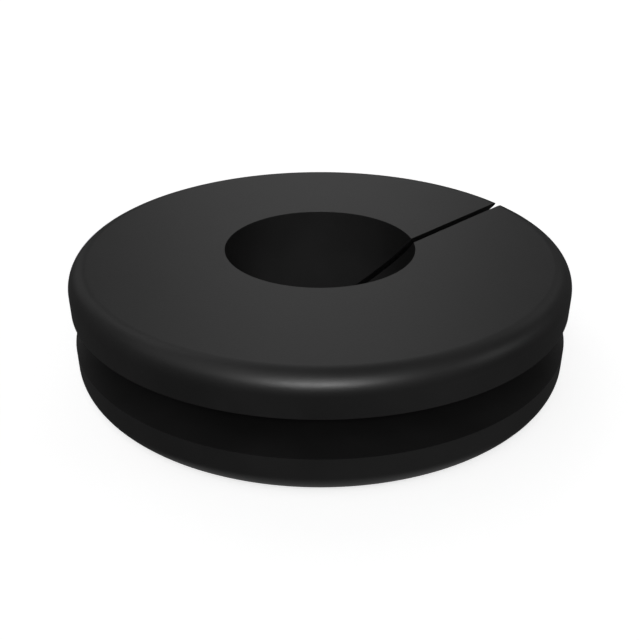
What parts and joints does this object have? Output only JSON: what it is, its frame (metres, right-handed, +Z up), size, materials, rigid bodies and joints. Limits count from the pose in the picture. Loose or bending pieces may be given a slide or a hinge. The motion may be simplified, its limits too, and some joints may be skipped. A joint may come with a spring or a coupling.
{
  "type": "rubber grommet",
  "caption": "Round black rubber slit grommet: equal flanges, a groove that takes a panel's edge, a straight cable bore, and a leaning slit from bore to rim.",
  "frame": {"origin": "on the bore's axis, in the plane of the bottom face that the grommet rests on", "axes": "+Z up along the bore's axis, out of the top face; the slit leaves the bore towards +X and +Y, at 45 degrees to both"},
  "size_m": [0.026, 0.026, 0.006],
  "materials": {
    "rubber": "satin"
  },
  "bodies": {
    "root": {"grommet": "rubber"}
  },
  "joints": []
}
